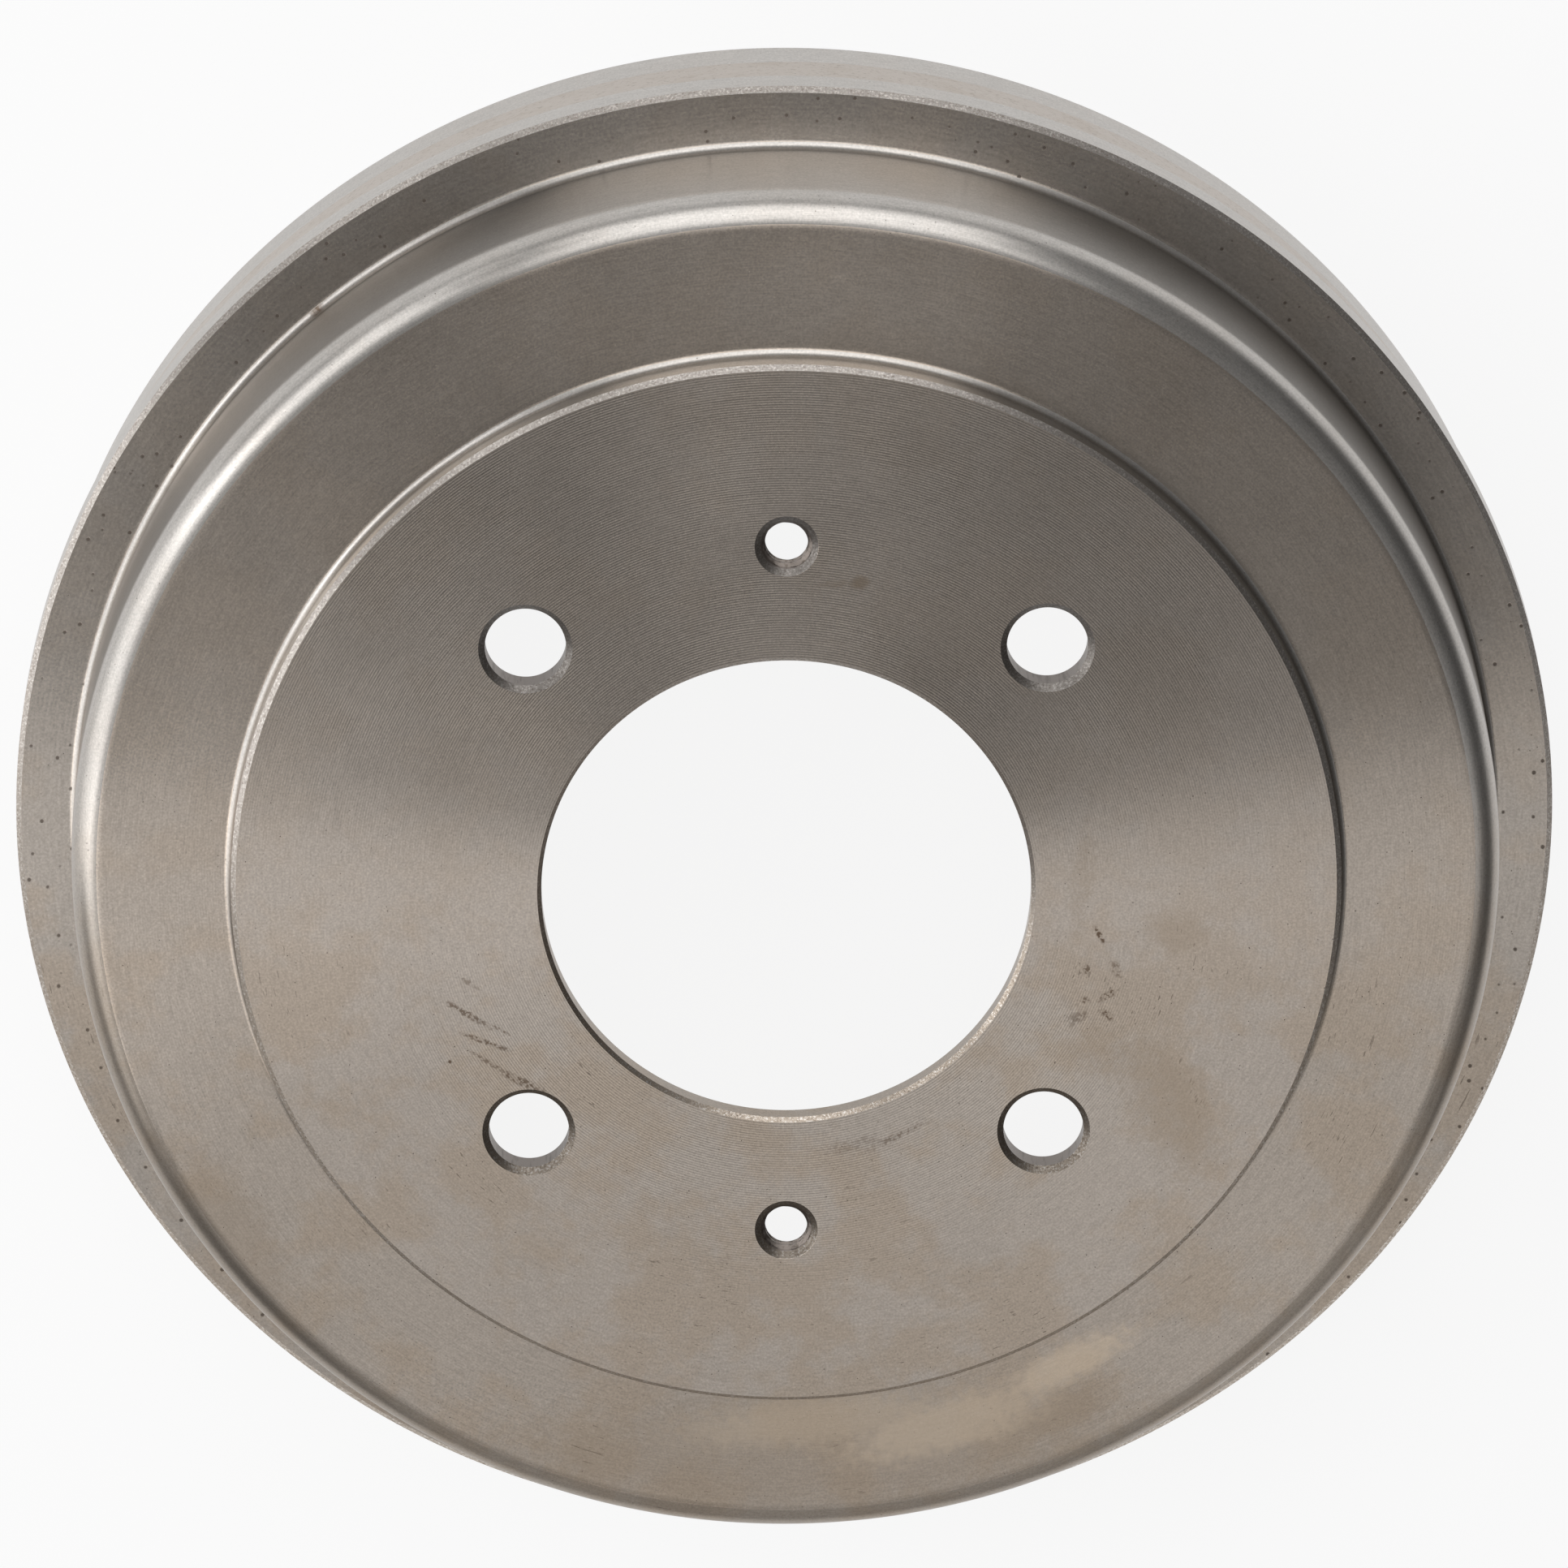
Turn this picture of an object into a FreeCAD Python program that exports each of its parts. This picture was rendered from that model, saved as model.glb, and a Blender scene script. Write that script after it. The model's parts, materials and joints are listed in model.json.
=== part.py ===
import FreeCAD, Part

import math
import os

# Brake drum, one grey iron casting, turned and drilled.
# It stands on its open rim: Z runs up the axis, the mounting face is on top.
# All sizes are in millimetres. Heights of the section count up from the open rim.

# Overall section
HEIGHT = 59.2                 # open rim to mounting face
FRICTION_DIA = 203.2          # bore that the shoes rub on
FRICTION_WIDTH = 41.0         # turned length of that bore, from the open rim
HAT_WALL = 10.2               # wall round the friction bore
HAT_HEIGHT = 31.0             # mounting face down to the front of the flange

# Flange round the open end
FLANGE_OVERHANG = 9.7         # how far the front of the flange stands out from the hat
FRONT_LAND = 6.0              # turned band at the front of the flange
LIP_STEP = 2.3                # how much smaller the turned rear lip is, on the radius
LIP_WIDTH = 8.6               # turned band at the open end
SKIN_STEP = 0.25              # what turning took off beside the cast belt

# Drip groove that the backing plate's lip runs in
LIP_WALL = 4.7                # iron outside the groove
GROOVE_WIDTH = 5.0
GROOVE_DEPTH = 7.0

# Web and raised mounting face
SHELF_WIDTH = 25.2            # hat wall in to the wall of the raised face
FACE_STEP = 5.2               # how far the mounting face stands above the shelf
FACE_WEB = 4.8                # iron at the mounting face
SHELF_WEB = 6.0               # iron under the shelf
DISH_RUN = 10.0               # radial length of the dish behind the raised face
HUB_SEAT_DIA = 146.0          # turned seat for the hub flange, on the inside
HUB_SEAT_DEPTH = 0.6          # how deep that seat is cut below the cast skin
RELIEF_DEPTH = 0.8            # how far the iron behind the friction bore is cut back, for tool run-out

# Holes
HUB_BORE_DIA = 76.4
BOLT_CIRCLE = 114.3
STUD_COUNT = 4
STUD_HOLE_DIA = 12.6
STUD_START_ANGLE = 45.0
JACK_COUNT = 2
JACK_START_ANGLE = 90.0
JACK_THREAD_DIA = 8.0
JACK_THREAD_PITCH = 1.25
THREAD_HEIGHT_RATIO = 1.0825  # nominal less minor diameter, in pitches, of a metric thread

# Edges
SHOULDER_RADIUS = 4.8         # round edge of the hat
TOOL_RADIUS = 1.3             # left in both outer corners by the turning tool
CAST_RADIUS = 3.5             # inside corner of the casting
EASED_FLATS = 2               # flats that stand for each small round
FACE_CHAMFER = 0.8
FLANGE_CHAMFER = 0.85
LIP_CHAMFER = 0.4
ENTRY_CHAMFER = 1.0
BORE_CHAMFER_FRONT = 0.65
BORE_CHAMFER_BACK = 1.2
STUD_CHAMFER = 1.0
JACK_SINK_DIA = 9.9
JACK_SINK_BACK_DIA = 8.6

# Radii that follow
FRICTION_R = FRICTION_DIA / 2
HAT_R = FRICTION_R + HAT_WALL
FLANGE_R = HAT_R + FLANGE_OVERHANG
LIP_R = FLANGE_R - LIP_STEP
GROOVE_OUTER_R = LIP_R - LIP_WALL
GROOVE_INNER_R = GROOVE_OUTER_R - GROOVE_WIDTH
RELIEF_R = FRICTION_R + RELIEF_DEPTH
STEP_R = HAT_R - SHELF_WIDTH
HUB_SEAT_R = HUB_SEAT_DIA / 2
HUB_BORE_R = HUB_BORE_DIA / 2

# Heights that follow
SHELF_Z = HEIGHT - FACE_STEP
FLANGE_FRONT_Z = HEIGHT - HAT_HEIGHT
BELT_TOP_Z = FLANGE_FRONT_Z - FRONT_LAND
SHELF_INSIDE_Z = SHELF_Z - SHELF_WEB
HUB_SEAT_Z = HEIGHT - FACE_WEB
CAST_SKIN_Z = HUB_SEAT_Z - HUB_SEAT_DEPTH

SHARP = "sharp"
ROUND = "round"
EASED = "eased"
BEVEL = "bevel"


def section_corners():
    """Corners of half the section, as radius, height, kind of edge and its size."""
    outside = [
        (HUB_BORE_R, HEIGHT, BEVEL, BORE_CHAMFER_FRONT),
        (STEP_R, HEIGHT, BEVEL, FACE_CHAMFER),
        (STEP_R, SHELF_Z, EASED, TOOL_RADIUS),
        (HAT_R, SHELF_Z, ROUND, SHOULDER_RADIUS),
        (HAT_R, FLANGE_FRONT_Z, EASED, TOOL_RADIUS),
        (FLANGE_R, FLANGE_FRONT_Z, BEVEL, FLANGE_CHAMFER),
        (FLANGE_R, BELT_TOP_Z, SHARP, 0),
        (FLANGE_R - SKIN_STEP, BELT_TOP_Z, SHARP, 0),
        (LIP_R + SKIN_STEP, LIP_WIDTH, SHARP, 0),
        (LIP_R, LIP_WIDTH, SHARP, 0),
        (LIP_R, 0, BEVEL, LIP_CHAMFER),
    ]
    groove = [
        (GROOVE_OUTER_R, 0, SHARP, 0),
        (GROOVE_OUTER_R, GROOVE_DEPTH, SHARP, 0),
        (GROOVE_INNER_R, GROOVE_DEPTH, SHARP, 0),
        (GROOVE_INNER_R, 0, SHARP, 0),
    ]
    inside = [
        (FRICTION_R, 0, BEVEL, ENTRY_CHAMFER),
        (FRICTION_R, FRICTION_WIDTH, SHARP, 0),
        (RELIEF_R, FRICTION_WIDTH, SHARP, 0),
        (RELIEF_R, SHELF_INSIDE_Z, EASED, CAST_RADIUS),
        (STEP_R, SHELF_INSIDE_Z, SHARP, 0),
        (STEP_R - DISH_RUN, CAST_SKIN_Z, SHARP, 0),
        (HUB_SEAT_R, CAST_SKIN_Z, SHARP, 0),
        (HUB_SEAT_R, HUB_SEAT_Z, SHARP, 0),
        (HUB_BORE_R, HUB_SEAT_Z, BEVEL, BORE_CHAMFER_BACK),
    ]
    return outside + groove + inside


def section_point(radius, height):
    return FreeCAD.Vector(radius, 0, height)


def corner_edge(before, corner, after, kind, size):
    """Where the edge at a corner starts and ends, and the lines or arc between the two."""
    to_before = (before - corner).normalize()
    to_after = (after - corner).normalize()
    half_angle = to_before.getAngle(to_after) / 2
    setback = size
    if kind != BEVEL:
        setback = size / math.tan(half_angle)
    start = corner + to_before * setback
    end = corner + to_after * setback
    if kind == BEVEL:
        return start, end, [Part.LineSegment(start, end).toShape()]
    centre = corner + (to_before + to_after).normalize() * (size / math.sin(half_angle))
    middle = centre + (corner - centre).normalize() * size
    arc = Part.Arc(start, middle, end).toShape()
    if kind == EASED:
        return start, end, Part.makePolygon(arc.discretize(EASED_FLATS + 1)).Edges
    return start, end, [arc]


def section_face(corners):
    """Closed face of the section, with each corner sharp, rounded, eased or bevelled."""
    points = [section_point(radius, height) for radius, height, _, _ in corners]
    starts, ends, corner_edges = [], [], []
    for index, (_, _, kind, size) in enumerate(corners):
        corner = points[index]
        if kind == SHARP:
            start, end, edges = corner, corner, []
        else:
            before = points[index - 1]
            after = points[(index + 1) % len(points)]
            start, end, edges = corner_edge(before, corner, after, kind, size)
        starts.append(start)
        ends.append(end)
        corner_edges.append(edges)
    outline = []
    for index, edges in enumerate(corner_edges):
        following = (index + 1) % len(points)
        outline += edges
        outline.append(Part.LineSegment(ends[index], starts[following]).toShape())
    return Part.Face(Part.Wire(Part.__sortEdges__(outline)))


def turned_casting():
    """The whole casting before drilling: the section turned about the axis."""
    axis = FreeCAD.Vector(0, 0, 1)
    return section_face(section_corners()).revolve(FreeCAD.Vector(0, 0, 0), axis, 360)


def bolt_circle_points(count, start_angle):
    """Places of a hole pattern on the bolt circle, at the height of the open rim."""
    points = []
    for index in range(count):
        angle = math.radians(start_angle + index * 360 / count)
        radius = BOLT_CIRCLE / 2
        points.append(FreeCAD.Vector(radius * math.cos(angle), radius * math.sin(angle), 0))
    return points


def hole_tool(point, hole_dia, front_dia, back_dia):
    """A drill through the web at point, with a cone at the front and at the back."""
    axis = FreeCAD.Vector(0, 0, 1)
    hole_r = hole_dia / 2
    overlap = 1.0
    bottom = point + axis * (HUB_SEAT_Z - overlap)
    tool = Part.makeCylinder(hole_r, FACE_WEB + 2 * overlap, bottom, axis)
    front_sink = front_dia / 2 - hole_r
    front_start = point + axis * (HEIGHT - front_sink)
    tool = tool.fuse(Part.makeCone(hole_r, front_dia / 2 + overlap, front_sink + overlap, front_start, axis))
    if back_dia > hole_dia:
        back_sink = back_dia / 2 - hole_r
        back_start = point + axis * (HUB_SEAT_Z - overlap)
        tool = tool.fuse(Part.makeCone(back_dia / 2 + overlap, hole_r, back_sink + overlap, back_start, axis))
    return tool


def stud_holes():
    front_dia = STUD_HOLE_DIA + 2 * STUD_CHAMFER
    return [hole_tool(point, STUD_HOLE_DIA, front_dia, STUD_HOLE_DIA)
            for point in bolt_circle_points(STUD_COUNT, STUD_START_ANGLE)]


def jack_holes():
    """Threaded holes for the screws that press the drum off its hub, at their minor diameter."""
    minor_dia = JACK_THREAD_DIA - THREAD_HEIGHT_RATIO * JACK_THREAD_PITCH
    return [hole_tool(point, minor_dia, JACK_SINK_DIA, JACK_SINK_BACK_DIA)
            for point in bolt_circle_points(JACK_COUNT, JACK_START_ANGLE)]


def brake_drum():
    return turned_casting().cut(stud_holes() + jack_holes())


def main():
    os.makedirs("parts", exist_ok=True)
    drum = brake_drum()
    drum.exportStep("parts/brake_drum.step")
    box = drum.BoundBox
    print("valid", drum.isValid(), "solids", len(drum.Solids), "faces", len(drum.Faces))
    print("box", round(box.XLength, 2), round(box.YLength, 2), round(box.ZLength, 2))
    print("volume in litres", round(drum.Volume / 1e6, 4))


main()
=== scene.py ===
import json
import logging
import math
from dataclasses import dataclass
from enum import Enum
from typing import Callable, Union

import bpy
from mathutils import Matrix, Vector


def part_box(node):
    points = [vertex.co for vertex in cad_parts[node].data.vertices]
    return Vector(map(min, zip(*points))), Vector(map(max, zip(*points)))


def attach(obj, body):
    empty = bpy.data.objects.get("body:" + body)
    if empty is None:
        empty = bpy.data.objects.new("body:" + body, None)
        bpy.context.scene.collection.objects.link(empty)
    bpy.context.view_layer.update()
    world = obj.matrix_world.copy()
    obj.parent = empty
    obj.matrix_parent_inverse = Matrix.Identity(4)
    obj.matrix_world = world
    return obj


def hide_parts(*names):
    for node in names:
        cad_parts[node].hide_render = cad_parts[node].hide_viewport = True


# A brake drum, one turned and drilled iron casting that stands on its open rim, mounting face up.
# Lengths are in metres. Radii and heights are those of half the section, heights from the open rim.

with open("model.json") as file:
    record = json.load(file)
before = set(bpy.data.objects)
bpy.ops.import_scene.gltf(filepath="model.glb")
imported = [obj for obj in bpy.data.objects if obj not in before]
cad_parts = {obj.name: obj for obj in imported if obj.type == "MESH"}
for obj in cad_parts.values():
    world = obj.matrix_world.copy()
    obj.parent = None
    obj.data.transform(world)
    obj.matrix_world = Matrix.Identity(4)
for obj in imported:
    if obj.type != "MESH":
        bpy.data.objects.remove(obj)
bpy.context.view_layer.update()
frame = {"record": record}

LOG = logging.getLogger("brake drum")
MM = 0.001
NODE = "brake_drum"
BODY = "root"
WHITE = (1.0, 1.0, 1.0, 1.0)

# Sockets of a colour Mix node, which shares its names among three kinds of value
MIX_FACTOR, MIX_FIRST, MIX_SECOND, MIX_COLOUR_OUT = 0, 6, 7, 2

# The gloss is widest across the tool marks, a quarter turn from the shader's own tangent
QUARTER_TURN = 0.25

Value = Union["Signal", float, tuple, bpy.types.ID]


def math_node(operation: str, swapped: bool = False) -> Callable[["Signal", Value], "Signal"]:
    """Makes a method of Signal that adds a Math node.

    Args:
        operation: The node's operation.
        swapped: Whether the other value comes first.

    Returns:
        The method.
    """

    def method(self: "Signal", other: Value) -> "Signal":
        """Adds the node on the signal and another value."""
        first, second = (other, self) if swapped else (self, other)
        return self.tree.math(operation, first, second)

    return method


class Signal:
    """An output socket that can stand in a Python expression."""

    def __init__(self, tree: "Tree", socket: bpy.types.NodeSocket) -> None:
        """Keeps the tree, so that an expression can add its nodes there."""
        self.tree = tree
        self.socket = socket

    __add__, __radd__ = math_node("ADD"), math_node("ADD", swapped=True)
    __sub__, __rsub__ = math_node("SUBTRACT"), math_node("SUBTRACT", swapped=True)
    __mul__, __rmul__ = math_node("MULTIPLY"), math_node("MULTIPLY", swapped=True)
    __truediv__ = math_node("DIVIDE")

    # 1 where the signal is over or under a level, and 0 elsewhere
    above, below = math_node("GREATER_THAN"), math_node("LESS_THAN")

    # The larger of two values
    larger = math_node("MAXIMUM")

    def fade(self, low: float, high: float) -> "Signal":
        """A soft step from 0 at low to 1 at high. It falls instead where low is the larger.

        Args:
            low: The value that gives 0.
            high: The value that gives 1.

        Returns:
            The stepped signal, held between 0 and 1.
        """
        start, end = (0.0, 1.0) if low < high else (1.0, 0.0)
        inputs = {0: self, 1: min(low, high), 2: max(low, high), 3: start, 4: end}
        return self.tree.add("ShaderNodeMapRange", {"interpolation_type": "SMOOTHSTEP"}, inputs)


class Tree:
    """Adds nodes to one shader or geometry tree."""

    def __init__(self, nodes: bpy.types.NodeTree) -> None:
        """Starts from an empty tree."""
        self.nodes = nodes
        nodes.nodes.clear()

    def add(self, kind: str, settings: dict | None = None, inputs: dict | None = None,
            output: int | str = 0) -> Signal:
        """Adds one node of any type.

        Args:
            kind: The node's type.
            settings: Properties of the node, set before its sockets.
            inputs: Values or signals by socket name or number. A list fills a socket that takes several.
            output: The output socket that the returned signal stands for.

        Returns:
            A signal on the chosen output.
        """
        node = self.nodes.nodes.new(kind)
        for name, value in (settings or {}).items():
            setattr(node, name, value)
        for key, value in (inputs or {}).items():
            for item in value if isinstance(value, list) else [value]:
                if isinstance(item, Signal):
                    self.nodes.links.new(item.socket, node.inputs[key])
                else:
                    node.inputs[key].default_value = item
        return Signal(self, node.outputs[output] if node.outputs else None)

    def parts(self, kind: str, inputs: dict | None = None) -> dict[str, Signal]:
        """Adds one node and gives a signal for each of its outputs, by name."""
        outputs = self.add(kind, None, inputs).socket.node.outputs
        return {socket.name: Signal(self, socket) for socket in outputs}

    def math(self, operation: str, first: Value, second: Value = 0.0) -> Signal:
        """Adds a Math node on one or two values."""
        return self.add("ShaderNodeMath", {"operation": operation}, {0: first, 1: second})

    def mix(self, first: Value, second: Value, share: Value) -> Signal:
        """Adds a colour Mix node that turns the first colour into the second by a share."""
        sockets = {MIX_FACTOR: share, MIX_FIRST: first, MIX_SECOND: second}
        return self.add("ShaderNodeMix", {"data_type": "RGBA"}, sockets, MIX_COLOUR_OUT)

    def noise(self, place: Value, grain: float, detail: float = 2.0, roughness: float = 0.5) -> Signal:
        """Adds a noise of a given grain.

        Args:
            place: The position that the noise reads.
            grain: The size of its blotches, in metres.
            detail: The number of finer layers.
            roughness: How much the finer layers count.

        Returns:
            A value about 0.5.
        """
        inputs = {"Vector": place, "Scale": 1 / grain, "Detail": detail, "Roughness": roughness}
        return self.add("ShaderNodeTexNoise", None, inputs)


class IronTree(Tree):
    """The shader tree of one finish on the iron, with the coordinates that its patterns follow."""

    STREAK_LENGTH = 12 * MM

    def __init__(self, name: str) -> None:
        """Makes the material and reads where a point of the casting lies.

        Args:
            name: The material's name.
        """
        self.material = bpy.data.materials.new(name)
        self.material.use_nodes = True
        super().__init__(self.material.node_tree)
        self.place = self.add("ShaderNodeTexCoord", output="Object")
        self.x, self.y, self.z = self.parts("ShaderNodeSeparateXYZ", {0: self.place}).values()
        self.radius = self.math("SQRT", self.x * self.x + self.y * self.y)
        # The tool's path along the section: outwards on a flat, down a wall, and both round a shoulder
        self.feed = self.radius - self.z
        # A place that is drawn out round the axis, for streaks that follow the tool marks
        self.drawn_out = self.add("ShaderNodeCombineXYZ", None, {
            "X": self.feed, "Y": self.x / self.radius * self.STREAK_LENGTH,
            "Z": self.y / self.radius * self.STREAK_LENGTH})

    def lower_half(self) -> Signal:
        """1 over the lower half of the drum, as it faces the camera, and 0 over the upper half."""
        return (self.y / self.radius).fade(0.3, -0.4)

    def pores(self, cell: float, share: float, size: float) -> Signal:
        """Small round pits in a random share of the cells of a grid.

        Args:
            cell: The size of a cell, in metres.
            share: The share of cells that hold a pit.
            size: The pit's radius as a share of its cell.

        Returns:
            1 inside a pit and 0 outside.
        """
        nearest = self.parts("ShaderNodeTexVoronoi", {"Vector": self.place, "Scale": 1 / cell})
        chance = self.add("ShaderNodeSeparateXYZ", None, {0: nearest["Color"]})
        return nearest["Distance"].fade(size, size / 2) * chance.below(share)

    def dress(self, colour: Value, roughness: Value, height: Signal, metal: Value = 1.0,
              anisotropy: float = 0.0) -> bpy.types.Material:
        """Ends the tree in one metal shader.

        Args:
            colour: The base colour.
            roughness: The roughness.
            height: The relief in metres, outwards.
            metal: How metallic the surface is.
            anisotropy: How much wider the gloss is across the tool marks than along them.

        Returns:
            The finished material.
        """
        normal = self.add("ShaderNodeBump", None, {"Strength": 1.0, "Distance": 1.0, "Height": height})
        inputs = {"Base Color": colour, "Roughness": roughness, "Metallic": metal, "Normal": normal,
                  "Anisotropic": anisotropy, "Anisotropic Rotation": QUARTER_TURN}
        shader = self.add("ShaderNodeBsdfPrincipled", None, inputs)
        self.add("ShaderNodeOutputMaterial", None, {"Surface": shader})
        return self.material


class Surface(Enum):
    """The kinds of surface that the casting has."""

    FACE = "turned_face"
    SHELF = "turned_shelf"
    WALL = "turned_wall"
    FLANGE = "turned_flange"
    EDGE = "grainy_edge"
    HOLE_EDGE = "hole_edge"
    SKIN = "cast_skin"
    DRILLED = "drilled_wall"


Finishes = dict[Surface, bpy.types.Material]

PIT_BROWN = (0.06, 0.04, 0.028, 1.0)
BROWN = (0.125, 0.08, 0.05, 1.0)
OCHRE = (0.33, 0.255, 0.185, 1.0)
# A light colour for a painted sheen
PAINTED_SHEEN_BEIGE = (0.66, 0.54, 0.41, 1.0)
OIL_FILM = (0.43, 0.345, 0.265, 1.0)
GLINT_GREY = (0.75, 0.73, 0.70, 1.0)


@dataclass(frozen=True)
class StainOrSheen:
    """A mark on the turned iron, a stained spot or a painted sheen: an oval with a ragged edge. Places and
    sizes are in millimetres.
    """

    x: float
    y: float
    length: float
    width: float
    turn: float
    strength: float
    dotted: float = 0.8
    colour: tuple = BROWN
    z: float = 0.0
    depth: float = 2000.0

    def mask(self, tree: IronTree, ragged: Signal, dots: Signal) -> Signal:
        """How much of the mark lies on each point.

        Args:
            tree: The finish that the mark is on.
            ragged: A noise about 0 that bends the outline.
            dots: 1 where a dotted stain keeps its colour, and 0 between.

        Returns:
            The mark's strength at its middle, and 0 outside.
        """
        half_sizes = (self.length * MM / 2, self.width * MM / 2, self.depth * MM / 2)
        inputs = {"Vector": tree.place, "Location": (self.x * MM, self.y * MM, self.z * MM),
                  "Rotation": (0.0, 0.0, math.radians(self.turn)), "Scale": half_sizes}
        placed = tree.add("ShaderNodeMapping", {"vector_type": "TEXTURE"}, inputs)
        reach = tree.add("ShaderNodeVectorMath", {"operation": "LENGTH"}, {0: placed}, "Value")
        mask = (reach + ragged).fade(1.3, 0.4) * self.strength
        return mask * (dots * self.dotted + (1 - self.dotted)) if self.dotted else mask


FACE_STAINS = tuple(StainOrSheen(*row) for row in (
    (-49.9, -20.4, 8.6, 1.2, -32, 0.75), (-45.0, -22.9, 4.6, 0.6, -31, 0.7),
    (-47.3, -25.0, 8.6, 0.9, -22, 0.8), (-46.3, -28.7, 7.7, 0.8, -33, 0.6),
    (-41.5, -31.8, 8.4, 1.5, -29, 0.8), (-49.5, -15.2, 3.6, 0.9, -35, 0.5),
    (-52.7, -28.4, 0.6, 0.6, 0, 0.9, 0.0), (48.9, -7.4, 3.8, 0.8, -60, 0.9),
    (50.3, -17.4, 4.1, 1.2, 34, 0.85), (50.1, -20.7, 2.5, 1.3, -45, 0.85),
    (46.9, -13.2, 2.4, 1.2, -83, 0.75), (51.6, -13.2, 3.5, 1.7, -65, 0.55),
    (45.6, -21.3, 3.9, 2.3, 36, 0.5), (46.7, -18.3, 1.7, 1.1, -26, 0.75),
    (16.8, -41.5, 12.5, 1.3, 27, 0.55), (10.5, -42.6, 9.0, 2.6, 14, 0.3),
    (11.4, 51.2, 3.2, 2.2, 7, 0.7, 0.2, OCHRE), (7.5, 51.0, 4.6, 1.4, 5, 0.4, 0.4, OCHRE),
    (61.0, -7.0, 12.0, 7.4, -5, 0.3, 0.0, OCHRE), (60.5, -36.4, 28.0, 13.0, -65, 0.35, 0.0, OCHRE),
    (51.0, -28.0, 20.0, 9.0, -20, 0.35, 0.4, OCHRE), (46.0, 2.0, 18.0, 4.0, 85, 0.3, 0.4, OCHRE),
))
# The ochre ovals are stained spots, and the beige ovals are a painted sheen, the shelf's lighter reflection
SHELF_STAINS_AND_SHEEN = tuple(StainOrSheen(*row) for row in (
    (5.0, -98.0, 130.0, 24.0, 3, 0.35, 0.0, OCHRE), (44.0, -91.0, 22.0, 9.0, 27, 0.45, 0.0, OCHRE),
    (44.5, -82.5, 24.0, 6.5, 29, 0.6, 0.0, PAINTED_SHEEN_BEIGE), (25.0, -93.0, 36.0, 10.0, 17, 0.5, 0.0, PAINTED_SHEEN_BEIGE),
    (6.0, -92.0, 46.0, 9.0, 6, 0.35, 0.0, PAINTED_SHEEN_BEIGE), (-88.0, -59.0, 34.0, 13.0, -58, 0.35, 0.0, OCHRE),
))
WALL_STAINS = (StainOrSheen(-72.9, 85.3, 2.4, 1.6, 52, 0.9, 0.3, z=28.6, depth=2.4),)


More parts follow.
